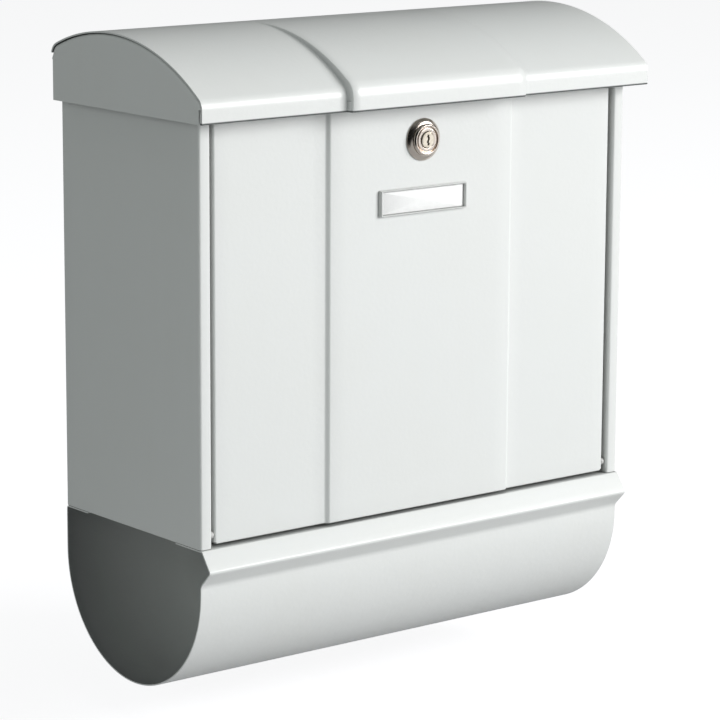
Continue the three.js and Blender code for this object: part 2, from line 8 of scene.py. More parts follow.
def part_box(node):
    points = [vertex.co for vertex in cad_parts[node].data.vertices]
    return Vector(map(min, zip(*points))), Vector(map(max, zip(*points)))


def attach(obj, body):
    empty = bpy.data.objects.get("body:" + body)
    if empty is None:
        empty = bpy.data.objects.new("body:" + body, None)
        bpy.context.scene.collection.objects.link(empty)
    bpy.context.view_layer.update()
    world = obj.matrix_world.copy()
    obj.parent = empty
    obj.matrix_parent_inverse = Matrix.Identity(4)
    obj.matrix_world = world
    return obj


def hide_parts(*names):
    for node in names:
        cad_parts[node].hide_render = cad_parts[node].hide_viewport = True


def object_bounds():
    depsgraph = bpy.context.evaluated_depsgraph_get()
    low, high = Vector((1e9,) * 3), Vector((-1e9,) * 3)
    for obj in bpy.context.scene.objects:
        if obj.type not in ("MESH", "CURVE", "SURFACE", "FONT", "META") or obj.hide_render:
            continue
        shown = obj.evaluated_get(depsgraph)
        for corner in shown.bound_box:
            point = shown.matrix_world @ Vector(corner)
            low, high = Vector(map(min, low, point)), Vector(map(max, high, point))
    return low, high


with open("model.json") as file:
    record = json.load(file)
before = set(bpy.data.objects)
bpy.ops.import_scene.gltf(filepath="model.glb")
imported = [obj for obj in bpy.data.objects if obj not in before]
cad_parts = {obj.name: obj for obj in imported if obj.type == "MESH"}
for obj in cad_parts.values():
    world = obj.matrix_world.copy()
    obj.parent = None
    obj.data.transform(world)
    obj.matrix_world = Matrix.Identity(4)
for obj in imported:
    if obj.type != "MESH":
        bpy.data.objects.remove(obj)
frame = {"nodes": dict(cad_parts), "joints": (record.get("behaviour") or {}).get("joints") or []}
cadLow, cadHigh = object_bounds()
print("frame loaded")

mm = 0.001

# places read from the frame, in metres
boxLow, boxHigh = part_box("body_shell")
lidLow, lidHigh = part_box("lid_sheet")
doorLow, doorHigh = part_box("door_panel")
tubeLow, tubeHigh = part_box("newspaper_tube")
jointPlace = {joint["name"]: joint["pos_m"] for joint in frame["joints"]}
rodY, rodZ = jointPlace["lid_hinge"][1:]
pinY, pinZ = jointPlace["door_hinge"][1:]
lockZ = jointPlace["lock_turn"][2]
halfX = boxHigh.x
frontY = boxLow.y
baseZ = boxLow.z
lidZ = lidLow.z
sheetT = 1.0 * mm


# shader graph helper

class Sock:
    # wraps a shader socket, so that + - * / and ** on it add Math nodes
    def __init__(self, graph, socket):
        self.graph = graph
        self.socket = socket

    def calc(self, operation, first, second):
        return self.graph.node("ShaderNodeMath", {"operation": operation}, {0: first, 1: second})

    def __add__(self, other):
        return self.calc("ADD", self, other)

    def __radd__(self, other):
        return self.calc("ADD", other, self)

    def __sub__(self, other):
        return self.calc("SUBTRACT", self, other)

    def __rsub__(self, other):
        return self.calc("SUBTRACT", other, self)

    def __mul__(self, other):
        return self.calc("MULTIPLY", self, other)

    def __rmul__(self, other):
        return self.calc("MULTIPLY", other, self)

    def __truediv__(self, other):
        return self.calc("DIVIDE", self, other)

    def __rtruediv__(self, other):
        return self.calc("DIVIDE", other, self)

    def __pow__(self, other):
        return self.calc("POWER", self, other)


class Graph:
    def __init__(self, owner):
        owner.use_nodes = True
        self.owner = owner
        self.tree = owner.node_tree
        self.tree.nodes.clear()

    def node(self, kind, settings=None, sockets=None, out=0):
        # settings first, such as an operation, then the sockets' values or links
        made = self.tree.nodes.new(kind)
        for key, value in (settings or {}).items():
            setattr(made, key, value)
        for key, value in (sockets or {}).items():
            if isinstance(value, Sock):
                self.tree.links.new(value.socket, made.inputs[key])
            else:
                made.inputs[key].default_value = value
        return Sock(self, made.outputs[out])

    def objectPoint(self):
        return self.node("ShaderNodeTexCoord", out="Object")

    def noise(self, scale, detail=2.0, roughness=0.5, stretch=None):
        place = self.objectPoint()
        if stretch:
            place = self.node("ShaderNodeMapping", {}, {"Vector": place, "Scale": stretch})
        return self.node("ShaderNodeTexNoise", {}, {
            "Vector": place, "Scale": scale, "Detail": detail, "Roughness": roughness,
        })

    def part(self, out, place=None):
        # one coordinate of a place, by its number
        return self.node("ShaderNodeSeparateXYZ", {}, {0: place or self.objectPoint()}, out=out)

    def byRay(self, ray, other, this):
        # the second shader for rays of one kind, the first for all others
        kind = self.node("ShaderNodeLightPath", out=ray)
        return self.node("ShaderNodeMixShader", {}, {0: kind, 1: other, 2: this})

    def spread(self, value, low, high, newLow=0.0, newHigh=1.0):
        # value carried from low..high to newLow..newHigh, clamped
        return self.node("ShaderNodeMapRange", {"clamp": True}, {
            0: value, 1: low, 2: high, 3: newLow, 4: newHigh,
        })

    def mixColour(self, factor, first, second):
        return self.node("ShaderNodeMix", {"data_type": "RGBA"}, {0: factor, 6: first, 7: second}, out=2)

    def bump(self, height, strength, distance, normal=None):
        sockets = {"Height": height, "Strength": strength, "Distance": distance}
        if normal:
            sockets["Normal"] = normal
        return self.node("ShaderNodeBump", {}, sockets)

    def finish(self, sockets):
        # the Principled shader and the output
        shader = self.node("ShaderNodeBsdfPrincipled", {}, sockets)
        return self.output(shader)

    def output(self, shader, kind="ShaderNodeOutputMaterial"):
        made = self.tree.nodes.new(kind)
        self.tree.links.new(shader.socket, made.inputs["Surface"])
        return self.owner


def materialGraph(name):
    return Graph(bpy.data.materials.new(name))


def rgba(r, g, b):
    return (r, g, b, 1.0)


# materials

paintLook = {
    "colour": rgba(0.80, 0.815, 0.805),
    "warm": rgba(0.775, 0.785, 0.765),
    "dust": rgba(0.70, 0.70, 0.67),
    # painted shade colour for the tube's inside at its left end
    "undercoat": rgba(0.10, 0.105, 0.105),
    # painted shade colour for the line along the lid lip's lower edge
    "raw": rgba(0.10, 0.11, 0.11),
    "grime": rgba(0.40, 0.41, 0.40),  # painted shade, darkening narrow gaps and folds
    "grimeReach": 7.0 * mm,
    "grimeRange": (0.25, 0.75),  # openness with full and with no painted shade
    "roughness": 0.36,
    "grain": 1500.0,  # powder coat's fine texture, per metre
    "peel": 330.0,  # its slower orange peel
}


def powderCoat(name, look, rougher=0.0, leftShade=0.0, lipShadeEdge=0.0):
    # powder coat: fine grain over a slow orange peel, a trace of uneven tone and dust;
    # painted shade darkens the colour towards the left end, as shade inside the tube's open end;
    # painted shade darkens a line below a given height, along the lid lip's lower edge
    g = materialGraph(name)
    cloud = g.spread(g.noise(9.0, 4.0, 0.6), 0.35, 0.7)
    colour = g.mixColour(cloud * 0.5, look["colour"], look["warm"])
    speck = g.spread(g.noise(700.0, 2.0, 0.6), 0.66, 0.74)
    streak = g.spread(g.noise(30.0, 3.0, 0.6, stretch=(1.0, 1.0, 0.12)), 0.52, 0.75)
    colour = g.mixColour(speck * 0.12 + streak * 0.10, colour, look["dust"])
    # painted shade: the colour darkens towards the left end
    if leftShade:
        pastLeftShade = g.spread(g.part(0), -halfX, -0.5 * halfX, 1.0 - leftShade, 1.0)
        colour = g.mixColour(pastLeftShade, look["undercoat"], colour)
    # painted shade: below this height the lid's colour turns dark, a line of shade under the lip
    if lipShadeEdge:
        aboveLipShade = g.spread(g.part(2), lipShadeEdge - 0.3 * mm, lipShadeEdge + 0.3 * mm)
        colour = g.mixColour(aboveLipShade, look["raw"], colour)
    # painted shade: ambient occlusion darkens the colour in narrow gaps, folds and recesses
    reach = {"Distance": look["grimeReach"]}
    opened = g.node("ShaderNodeAmbientOcclusion", {"samples": 6}, reach, out="AO")
    colour = g.mixColour(g.spread(opened, *look["grimeRange"]), look["grime"], colour)
    grain = g.noise(look["grain"], 2.0, 0.55)
    peel = g.noise(look["peel"], 1.0, 0.4)
    rough = look["roughness"] + rougher + (cloud - 0.5) * 0.06 + (grain - 0.5) * 0.10 + streak * 0.05
    normal = g.bump(grain, 0.10, 0.0002)
    normal = g.bump(peel, 0.16, 0.0004, normal)
    return g.finish({
        "Base Color": colour, "Roughness": rough, "Normal": normal,
        "IOR": 1.5, "Coat Weight": 0.15, "Coat Roughness": 0.25,
    })


def turnedNickel(name, colour=rgba(0.68, 0.61, 0.55), roughness=0.2, ringScale=2600.0):
    # Nickel turned on a lathe round the lock's axis: rings from the distance to that axis.
    g = materialGraph(name)
    place = g.node("ShaderNodeMapping", {}, {"Vector": g.objectPoint(), "Location": (0.0, 0.0, -lockZ)})
    x, z = g.part(0, place), g.part(2, place)
    radius = (x * x + z * z) ** 0.5
    rings = g.node("ShaderNodeMath", {"operation": "SINE"}, {0: radius * ringScale * 6.0})
    smear = g.noise(420.0, 4.0, 0.6)
    tarnish = g.spread(g.noise(160.0, 4.0, 0.6), 0.45, 0.75)
    base = g.mixColour(tarnish * 0.35, colour, rgba(colour[0] * 0.72, colour[1] * 0.68, colour[2] * 0.6))
    rough = roughness + tarnish * 0.10 + (smear - 0.5) * 0.08
    return g.finish({
        "Base Color": base, "Metallic": 1.0, "Roughness": rough,
        "Normal": g.bump(rings * 0.5 + smear, 0.06, 0.0001),
    })


def zincPlate(name, colour=rgba(0.60, 0.61, 0.62), roughness=0.36):
    # Zinc plate: a mottle of slow patches with fine scuffs.
    g = materialGraph(name)
    patch = g.node("ShaderNodeTexVoronoi", {"feature": "F1"}, {"Vector": g.objectPoint(), "Scale": 260.0})
    scuff = g.noise(900.0, 3.0, 0.6, stretch=(0.25, 1.0, 1.0))
    shade = rgba(colour[0] * 0.8, colour[1] * 0.8, colour[2] * 0.82)
    base = g.mixColour(g.spread(patch, 0.0, 0.9), colour, shade)
    rough = roughness + g.spread(scuff, 0.3, 0.7) * 0.16 - 0.08
    return g.finish({
        "Base Color": base, "Metallic": 1.0, "Roughness": rough,
        "Normal": g.bump(scuff, 0.10, 0.0001),
    })


def mouldedPlastic(name, colour, roughness):
    # Moulded plastic with a fine spark-eroded grain.
    g = materialGraph(name)
    grain = g.noise(2200.0, 2.0, 0.6)
    tone = g.spread(g.noise(60.0, 3.0, 0.5), 0.35, 0.7)
    base = g.mixColour(tone * 0.3, colour, rgba(colour[0] * 0.93, colour[1] * 0.93, colour[2] * 0.9))
    return g.finish({
        "Base Color": base, "Roughness": roughness + (grain - 0.5) * 0.12,
        "Normal": g.bump(grain, 0.12, 0.0001), "IOR": 1.49,
    })


def rubberLook(name):
    # Rubber: a coarse matt grain and a paler bloom in patches.
    g = materialGraph(name)
    grain = g.noise(1300.0, 3.0, 0.7)
    bloom = g.spread(g.noise(180.0, 4.0, 0.6), 0.45, 0.75)
    base = g.mixColour(bloom * 0.5, rgba(0.022, 0.022, 0.023), rgba(0.060, 0.060, 0.058))
    return g.finish({
        "Base Color": base, "Roughness": 0.66 + bloom * 0.14,
        "Normal": g.bump(grain, 0.25, 0.0002),
    })


def cardPaper(name):
    # Card: fibres as stretched noise, a trace of tooth.
    g = materialGraph(name)
    fibre = g.noise(1500.0, 4.0, 0.7, stretch=(0.3, 1.0, 1.0))
    base = g.mixColour(g.spread(fibre, 0.35, 0.7) * 0.4, rgba(0.99, 0.99, 0.985), rgba(0.95, 0.95, 0.94))
    return g.finish({
        "Base Color": base, "Roughness": 0.85 + (fibre - 0.5) * 0.1,
        "Normal": g.bump(fibre, 0.2, 0.0001),
    })


def clearAcrylic(name):
    # Clear cover: mostly see-through, with faint wiping marks in its gloss.
    g = materialGraph(name)
    wipe = g.noise(240.0, 4.0, 0.7, stretch=(1.0, 1.0, 0.3))
    return g.finish({
        "Base Color": rgba(0.95, 0.96, 0.96), "Roughness": 0.10 + g.spread(wipe, 0.4, 0.75) * 0.14,
        "Alpha": 0.03 + g.spread(wipe, 0.4, 0.8) * 0.04, "IOR": 1.49,
    })


paint = powderCoat("whitePowderCoat", paintLook)
# the lid's painted shade in gaps is darker and reaches further; the door's is fainter
lidLook = dict(paintLook, grime=rgba(0.17, 0.18, 0.18), grimeReach=9.0 * mm, grimeRange=(0.30, 0.92))
doorPaint = powderCoat("doorPowderCoat", dict(paintLook, grimeRange=(0.0, 0.45)))
# the lid carries a painted shade line along its lip's lower edge
lidPaint = powderCoat("lidPowderCoat", lidLook, lipShadeEdge=lidZ + 1.2 * mm)
paintInside = powderCoat("insidePowderCoat", paintLook, rougher=0.08)
# the tube's inside, with painted shade towards its left end
leftShadeCoat = powderCoat("thinInsideCoat", paintLook, rougher=0.12, leftShade=0.88)
nickel = turnedNickel("turnedNickel")
plugNickel = turnedNickel("plugNickel", colour=rgba(0.72, 0.66, 0.56), roughness=0.24, ringScale=1400.0)
zinc = zincPlate("zincPlate")
darkZinc = zincPlate("camSteel", colour=rgba(0.48, 0.49, 0.50), roughness=0.42)
nylon = mouldedPlastic("whiteNylon", rgba(0.58, 0.58, 0.57), 0.55)
framePlastic = mouldedPlastic("framePlastic", rgba(0.66, 0.67, 0.66), 0.40)
rubber = rubberLook("bufferRubber")
paper = cardPaper("cardPaper")
acrylic = clearAcrylic("clearAcrylic")
print("materials made")


# outline maths

def arcPoints(centre, radius, start, end, count):
    # Points centre + radius (cos a, sin a), a from start to end, as one array.
    a = np.linspace(start, end, count)
    return np.stack([centre[0] + radius * np.cos(a), centre[1] + radius * np.sin(a)], 1)


def roundedPath(corners, radii, arcSteps=6):
    # A line through corners with every inner corner replaced by an arc tangent to both of its legs.
    corners = np.asarray(corners, float)
    parts = [corners[:1]]
    for here, before, after, radius in zip(corners[1:-1], corners[:-2], corners[2:], radii):
        a = (before - here) / np.linalg.norm(before - here)
        b = (after - here) / np.linalg.norm(after - here)
        half = math.acos(np.clip(a @ b, -1, 1)) / 2
        if radius <= 0 or abs(half - math.pi / 2) < 1e-3:
            parts.append(here[None])
            continue
        reach = radius / math.tan(half)
        centre = here + (a + b) / np.linalg.norm(a + b) * radius / math.sin(half)
        first, last = here + a * reach - centre, here + b * reach - centre
        start = math.atan2(first[1], first[0])
        turn = (math.atan2(last[1], last[0]) - start + math.pi) % (2 * math.pi) - math.pi
        parts.append(arcPoints(centre, radius, start, start + turn, arcSteps + 1))
    parts.append(corners[-1:])
    return np.concatenate(parts)


def refined(path, step):
    # The same path with extra points, so that no leg is longer than step.
    legs = np.linalg.norm(np.diff(path, axis=0), axis=1)
    counts = np.maximum(1, np.ceil(legs / step)).astype(int)
    place = np.concatenate([i + np.arange(n) / n for i, n in enumerate(counts)] + [[len(legs)]])
    return np.stack([np.interp(place, np.arange(len(path)), path[:, k]) for k in (0, 1)], 1)


def pathNormals(path, side=1.0):
    # Unit normals of a path, to its left for side 1 and to its right for -1.
    t = np.gradient(path, axis=0)
    t = t / np.linalg.norm(t, axis=1)[:, None]
    return side * np.stack([-t[:, 1], t[:, 0]], 1)


def smoothStep(t):
    # 3 t squared - 2 t cubed, with t held to 0..1.
    t = np.clip(t, 0, 1)
    return t * t * (3 - 2 * t)


def lines(*groups):
    # Grid lines: the sorted union of the groups, with near doubles dropped.
    values = np.unique(np.concatenate([np.atleast_1d(np.asarray(g, float)) for g in groups]))
    keep = np.concatenate([[True], np.diff(values) > 1e-7])
    return values[keep]


def surface(x, y, z):
    # Three arrays spread over one grid, as points.
    return np.stack(np.broadcast_arrays(x, y, z), -1)


# mesh makers

def linked(name, data):
    # A new object in the scene.
    made = bpy.data.objects.new(name, data)
    bpy.context.scene.collection.objects.link(made)
    return made


def meshObject(name, points, faces, look, body, replaces, smooth=True):
    # A mesh with one material, riding a body and standing for its CAD node.
    mesh = bpy.data.meshes.new(name)
    mesh.from_pydata(points.tolist(), [], faces)
    mesh.validate()
    mesh.polygons.foreach_set("use_smooth", np.full(len(mesh.polygons), smooth))
    mesh.update()
    made = linked(name, mesh)
    made.data.materials.append(look)
    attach(made, body)
    if replaces:
        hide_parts(*([replaces] if isinstance(replaces, str) else replaces))
    return made


def gridFaces(rows, columns, keep=None):
    # Quads of a rows by columns grid of points, as an array of point numbers.
    number = np.arange(rows * columns).reshape(rows, columns)
    quads = np.stack([number[:-1, :-1], number[1:, :-1], number[1:, 1:], number[:-1, 1:]], -1)
    return quads[keep] if keep is not None else quads.reshape(-1, 4)


def sheetPiece(name, points, look, body, replaces, keep=None, holes=(), flip=False,
               edge=0.22 * mm, inside=None):
    # A folded sheet: points is a (rows, columns, 3) surface, its outer face. keep masks cells that exist.
    # holes are (row from, row to, column from, column to, ring points as a function of the block's rim).
    # Solidify gives the wall towards the inside and Bevel rounds its cut edges.
    rows, columns = points.shape[:2]
    mask = np.ones((rows - 1, columns - 1), bool) if keep is None else keep.copy()
    flat = points.reshape(-1, 3)
    number = np.arange(rows * columns).reshape(rows, columns)
    extraPoints, extraFaces = [], []
    count = len(flat)
    for r0, r1, c0, c1, ringOf in holes:
        mask[r0:r1, c0:c1] = False
        rim = np.concatenate([
            number[r0, c0:c1], number[r0:r1, c1], number[r1, c1:c0:-1], number[r1:r0:-1, c0],
        ])
        ring = ringOf(flat[rim])
        inner = count + np.arange(len(rim))
        count += len(rim)
        extraPoints.append(ring)
        extraFaces.append(np.stack([rim, inner, np.roll(inner, -1), np.roll(rim, -1)], 1))
    quads = np.concatenate([gridFaces(rows, columns, mask), *extraFaces])
    allPoints = np.concatenate([flat, *extraPoints])
    used, compact = np.unique(quads, return_inverse=True)
    faces = compact.reshape(-1, 4)
    if flip:
        faces = faces[:, ::-1]
    made = meshObject(name, allPoints[used], faces.tolist(), look, body, replaces)
    wall = made.modifiers.new("wall", "SOLIDIFY")
    wall.thickness = sheetT
    wall.offset = -1.0
    wall.use_even_offset = True
    if inside:
        made.data.materials.append(inside)
        wall.material_offset = 1
    bevel = made.modifiers.new("edges", "BEVEL")
    bevel.width = edge
    bevel.segments = 2
    bevel.limit_method = "ANGLE"
    bevel.angle_limit = math.radians(50.0)
    bevel.harden_normals = True


def loft(name, loops, look, body, replaces, ring=False, smooth=True):
    # Loops of points, (loops, points, 3), skinned one to the next. A ring closes on its first loop;
    # otherwise the first and last loops are closed with a fan to their middle.
    loops = np.asarray(loops, float)
    count, size = loops.shape[:2]
    number = np.arange(count * size).reshape(count, size)
    stack = np.concatenate([number, number[:1]]) if ring else number
    a, b = stack[:-1], stack[1:]
    quads = np.stack([a, np.roll(a, -1, 1), np.roll(b, -1, 1), b], -1).reshape(-1, 4)
    points = loops.reshape(-1, 3)
    faces = quads.tolist()
    if not ring:
        points = np.concatenate([points, loops[0].mean(0)[None], loops[-1].mean(0)[None]])
        first, last = number[0], number[-1]
        faces += np.stack([np.roll(first, -1), first, np.full(size, count * size)], 1).tolist()
        faces += np.stack([last, np.roll(last, -1), np.full(size, count * size + 1)], 1).tolist()
    if signedVolume(points, faces) < 0:
        faces = [face[::-1] for face in faces]
    meshObject(name, points, faces, look, body, replaces, smooth)


def signedVolume(points, faces):
    # Sum of the signed tetrahedra from the origin to each face, fanned into triangles.
    quads = np.array([f if len(f) == 4 else [f[0], f[1], f[2], f[2]] for f in faces])
    a, b, c, d = (points[quads[:, k]] for k in range(4))
    return float((np.cross(a, b) * c).sum() + (np.cross(a, c) * d).sum()) / 6


def alongAxis(axis, centre, across, height):
    # Points from polar outlines: across is (n, 2) in the plane, height along axis x, y or z.
    u, v = across[..., 0], across[..., 1]
    height = np.broadcast_to(height, u.shape)
    order = {"x": (height, u, v), "y": (u, height, v), "z": (u, v, height)}[axis]
    return np.stack(order, -1) + np.asarray(centre)


def circlePoints(radius, count):
    # Points of a circle about the origin.
    a = np.arange(count) * 2 * math.pi / count
    return radius * np.stack([np.cos(a), np.sin(a)], -1)


def lathe(name, axis, centre, profile, look, body, replaces, ring=False, count=56):
    # A profile of (radius, height) turned about an axis through centre.
    loops = [alongAxis(axis, centre, circlePoints(r, count), h) for r, h in profile]
    loft(name, loops, look, body, replaces, ring)


# lid

lid = {
    "overhang": lidHigh.x,  # half width
    "lipHeight": 9.6 * mm,
    "shoulder": 13.5 * mm,  # where the arc would meet the lip
    "crestHeight": 49.5 * mm,
    "crestBack": 67.2 * mm,
    "bend": 9.0 * mm,  # radius over the lip
    "curl": 10.0 * mm,  # radius round the hinge rod
    "curlEnd": 15.0,  # degrees above level
    "panelHalf": 72.8 * mm,  # raised middle
    "panelSlope": 1.6 * mm,
    "panelRise": 4.5 * mm,  # at the lip, nothing at the crest
    "hem": 1.1 * mm,  # outer radius of the lip's folded edge
    "hemBack": 7.0 * mm,  # height of its inner leg
    "endBend": 2.4 * mm,  # gables: bend, flange and the outline's last point below the curl
    "endFlange": 7.0 * mm,
    "endCorner": np.array([-0.7, -1.0]) * mm,
}
lipY = cadLow.y + lid["panelRise"]


def lidOutline(inward, step=2.6 * mm):
    # The lid's section as (y, z), drawn inwards by some distance: lip, bend, one long arc, curl.
    rise = lid["crestHeight"] - lid["shoulder"]
    reach = -lid["crestBack"] - lipY
    radius = (reach ** 2 + rise ** 2) / (2 * rise)
    centre = np.array([-lid["crestBack"], lidZ + lid["crestHeight"] - radius])
    front = lipY + inward
    r = radius - inward
    meet = math.acos((front - centre[0]) / r)
    corner = centre + r * np.array([math.cos(meet), math.sin(meet)])
    tangent = np.array([math.sin(meet), -math.cos(meet)])
    top = roundedPath([[front, lidZ], corner, corner + tangent * 30 * mm], [lid["bend"] - inward], 10)[:-1]
    last = top[-1] - centre
    start = math.atan2(last[1], last[0])
    rod = np.array([rodY, rodZ])
    joinAt = math.atan2(rod[1] - centre[1], rod[0] - centre[0])
    count = int((start - joinAt) * radius / step) + 2
    sweep = arcPoints(centre, r, start, joinAt, count)
    curl = arcPoints(rod, lid["curl"] - inward, joinAt, math.radians(lid["curlEnd"]), 12)
    return np.concatenate([top, sweep[1:], curl[1:]])


def makeLid():
    # Surface P(v) + n(v) h(x, v): P is the section, n its outward normal, h the raised middle.
    r = lid["hem"]
    hem = np.concatenate([
        [[lipY + 2 * r, lidZ + lid["hemBack"]]],
        arcPoints((lipY + r, lidZ + r), r, 0.0, -math.pi, 13),
    ])
    outline = lidOutline(0.0)
    section = np.concatenate([hem, refined(outline, 2.6 * mm)[1:]])
    steps = np.linalg.norm(np.diff(section, axis=0), axis=1)
    section = section[np.concatenate([[True], steps > 1e-6])]
    normal = pathNormals(section, 1.0)
    normal[:len(hem)] = (-1.0, 0.0)
    edge = lid["panelHalf"] + lid["panelSlope"]
    slope = np.linspace(lid["panelHalf"], edge, 9)
    x = lines(
        np.linspace(-lid["overhang"], -edge, 18), -slope,
        np.linspace(-lid["panelHalf"], lid["panelHalf"], 24), slope, np.linspace(edge, lid["overhang"], 18),
    )
    side = smoothStep((edge - np.abs(x)) / lid["panelSlope"])
    taper = np.clip((-lid["crestBack"] - section[:, 0]) / (-lid["crestBack"] - lipY), 0, 1)
    height = lid["panelRise"] * side[:, None] * taper[None, :]
    y = section[None, :, 0] + normal[None, :, 0] * height
    z = section[None, :, 1] + normal[None, :, 1] * height
    sheetPiece("lidSheet", surface(x[:, None], y, z), lidPaint, "lid", "lid_sheet", edge=0.3 * mm)


def makeLidEnd(name, side, node):
    # A gable pressed from one sheet: a flat plate below its outline, a bend, and a flange under the lid.
    inward = sheetT + 0.3 * mm
    outline = refined(lidOutline(inward), 2.6 * mm)
    outline = outline[outline[:, 1] > lidZ + lid["lipHeight"] * 0.9]
    outline[0] = [lipY + inward, lidZ + lid["lipHeight"]]
    outline = np.concatenate([outline, [lid["endCorner"] + np.array([0.0, rodZ])]])
    normal = pathNormals(outline, 1.0)
    bend = lid["endBend"]
    outerX = lid["overhang"]
    turn = np.linspace(0, math.pi / 2, 7)
    inset = bend * (1 - np.sin(turn))
    bendX = outerX - bend * (1 - np.cos(turn))
    flangeX = np.linspace(outerX - bend, outerX - lid["endFlange"], 4)[1:]
    rim = outline - normal * bend
    depth = np.linspace(0, 1, 9)[:-1]
    plate = surface(outerX, rim[:, :1], lidZ + (rim[:, 1:] - lidZ) * depth)
    curved = surface(bendX, outline[:, :1] - normal[:, :1] * inset, outline[:, 1:] - normal[:, 1:] * inset)
    flange = surface(flangeX, outline[:, :1], outline[:, 1:])
    points = np.concatenate([plate, curved, flange], 1) * np.array([side, 1, 1])
    sheetPiece(name, points, paint, "lid", node, flip=side < 0)


makeLid()
makeLidEnd("lidEndLeft", -1, "lid_end_left")
makeLidEnd("lidEndRight", 1, "lid_end_right")
print("lid made")


# box shell

shell = {
    "rail": 9.0 * mm,
    "returnDepth": 12.0 * mm,
    "bend": 1.8 * mm,
    "wallTop": 4.0 * mm,  # below the lid's outer face
    "ear": 8.2 * mm,  # radius round the rod
    "earTip": 3.0 * mm,  # its top corner behind the rod
    "earStart": -50.0,  # degrees
    "notch": 11.5 * mm,  # back panel's top below the rod
    "holeX": 130.0 * mm,
    "holeInset": 39.0 * mm,
    "holeRadius": 3.5 * mm,
}


def ringOnY(centre, radius):
    # Ring points round a hole along Y: each rim point is pulled onto the circle at its own bearing.
    def ringOf(rim):
        bearing = np.arctan2(rim[:, 2] - centre[1], rim[:, 0] - centre[0])
        x, z = centre[0] + radius * np.cos(bearing), centre[1] + radius * np.sin(bearing)
        return np.stack([x, rim[:, 1], z], 1)
    return ringOf


def makeShell():
    # A strip folded round the box: columns follow the folded outline seen from above, rows go up.
    # The side walls go on above the back, to an edge that follows the underside of the lid.
    s = shell
    x1, x2 = halfX - s["rail"], halfX
    right = [[x1, frontY + s["returnDepth"]], [x1, frontY], [x2, frontY], [x2, 0.0]]
    corners = right + [[-x, y] for x, y in reversed(right)]
    plan = roundedPath(corners, [s["bend"]] * (len(corners) - 2), 6)
    plan = refined(plan, 12 * mm)
    holeStep = np.linspace(-2.0, 2.0, 9) * s["holeRadius"]
    isBack = np.abs(plan[:, 1]) < 1e-6
    backX = lines(plan[isBack, 0], s["holeX"] + holeStep, -s["holeX"] + holeStep)[::-1]
    first, last = np.flatnonzero(isBack)[[0, -1]]
    plan = np.concatenate([plan[:first], np.stack([backX, np.zeros_like(backX)], 1), plan[last + 1:]])
    zBack = rodZ - s["notch"]
    holeZ = [baseZ + s["holeInset"], lidZ - s["holeInset"]]
    low = lines(np.linspace(baseZ, zBack, 26), holeZ[0] + holeStep, holeZ[1] + holeStep)
    up = np.linspace(0, 1, 9)[1:]
    rows = len(low) + len(up)
    points = np.zeros((len(plan), rows, 3))
    points[:, :len(low), 0] = plan[:, :1]
    points[:, :len(low), 1] = plan[:, 1:]
    points[:, :len(low), 2] = low
    # upper part: a Coons patch between the wall's foot, its front edge, its arched top and its ear
    under = lidOutline(s["wallTop"], 1.0 * mm)
    topOf = lambda y: np.interp(y, under[:, 0], under[:, 1])
    rowsUp = slice(len(low), rows)
    onSide = np.abs(np.abs(plan[:, 0]) - x2) < 1e-6
    yFront, yBack = plan[onSide, 1].min(), plan[onSide, 1].max()
    earTop = math.acos(s["earTip"] / s["ear"])
    sweep = np.linspace(math.radians(s["earStart"]), earTop, len(up))
    ear = np.stack([rodY + s["ear"] * np.cos(sweep), rodZ + s["ear"] * np.sin(sweep)], 1)
    corner = ear[-1]
    across = (plan[:, 1] - yFront) / (yBack - yFront)
    a = np.clip(across, 0, 1)[:, None]
    b = up[None, :]
    footY, footZ = yFront + a * (yBack - yFront), np.full_like(a, zBack)
    topY = yFront + a * (corner[0] - yFront)
    topZ = np.where(a >= 1, corner[1], topOf(topY))
    leftZ = zBack + b * (topOf(yFront) - zBack)
    rightY = ear[None, :, 0]
    rightZ = ear[None, :, 1]
    patchY = (1 - b) * footY + b * topY + (1 - a) * yFront + a * rightY - (
        (1 - a) * yFront + a * (1 - b) * yBack + a * b * corner[0])
    patchZ = (1 - b) * footZ + b * topZ + (1 - a) * leftZ + a * rightZ - (
        (1 - a) * (1 - b) * zBack + a * (1 - b) * zBack + (1 - a) * b * topOf(yFront) + a * b * corner[1])
    isFront = plan[:, 1] < yFront
    points[:, rowsUp, 0] = plan[:, :1]
    points[:, rowsUp, 1] = np.where(isFront[:, None], plan[:, 1:], patchY)
    points[:, rowsUp, 2] = patchZ
    isReturn = (np.abs(plan[:, 0]) < x1 + 1e-6) & (plan[:, 1] > yFront) & (plan[:, 1] < -50 * mm)
    points[isReturn, rowsUp, 1] = plan[isReturn, 1:]
    points[isReturn, rowsUp, 2] = np.broadcast_to(leftZ, (isReturn.sum(), len(up)))
    # cells above the back exist only on the side walls and the front rails
    high = onSide | isFront | isReturn
    keep = np.ones((len(plan) - 1, rows - 1), bool)
    keep[:, len(low) - 1:] = (high[:-1] & high[1:])[:, None]
    holes = []
    for x in (s["holeX"], -s["holeX"]):
        for z in holeZ:
            nearX = np.abs(plan[:, 0] - x) <= 2.001 * s["holeRadius"]
            r = np.flatnonzero(nearX & (np.abs(plan[:, 1]) < 1e-6))
            c = np.flatnonzero(np.abs(low - z) <= 2.001 * s["holeRadius"])
            holes.append((r[0], r[-1], c[0], c[-1], ringOnY((x, z), s["holeRadius"])))
    sheetPiece("bodyShell", points, paint, "box", "body_shell", keep=keep, holes=holes)


makeShell()
print("shell made")


# newspaper tube

tube = {
    "arcDrop": 29.0 * mm,
    "beadHeight": 24.0 * mm,
    "beadDrop": 13.2 * mm,
    "backFlange": 25.0 * mm,
    "frontFlange": 28.0 * mm,
    "backBend": 2.0 * mm,
    "beadLedge": 1.2 * mm,  # bead's upper side in front of the rails
    "beadBends": [6.0 * mm, 2.2 * mm, 1.2 * mm],
}


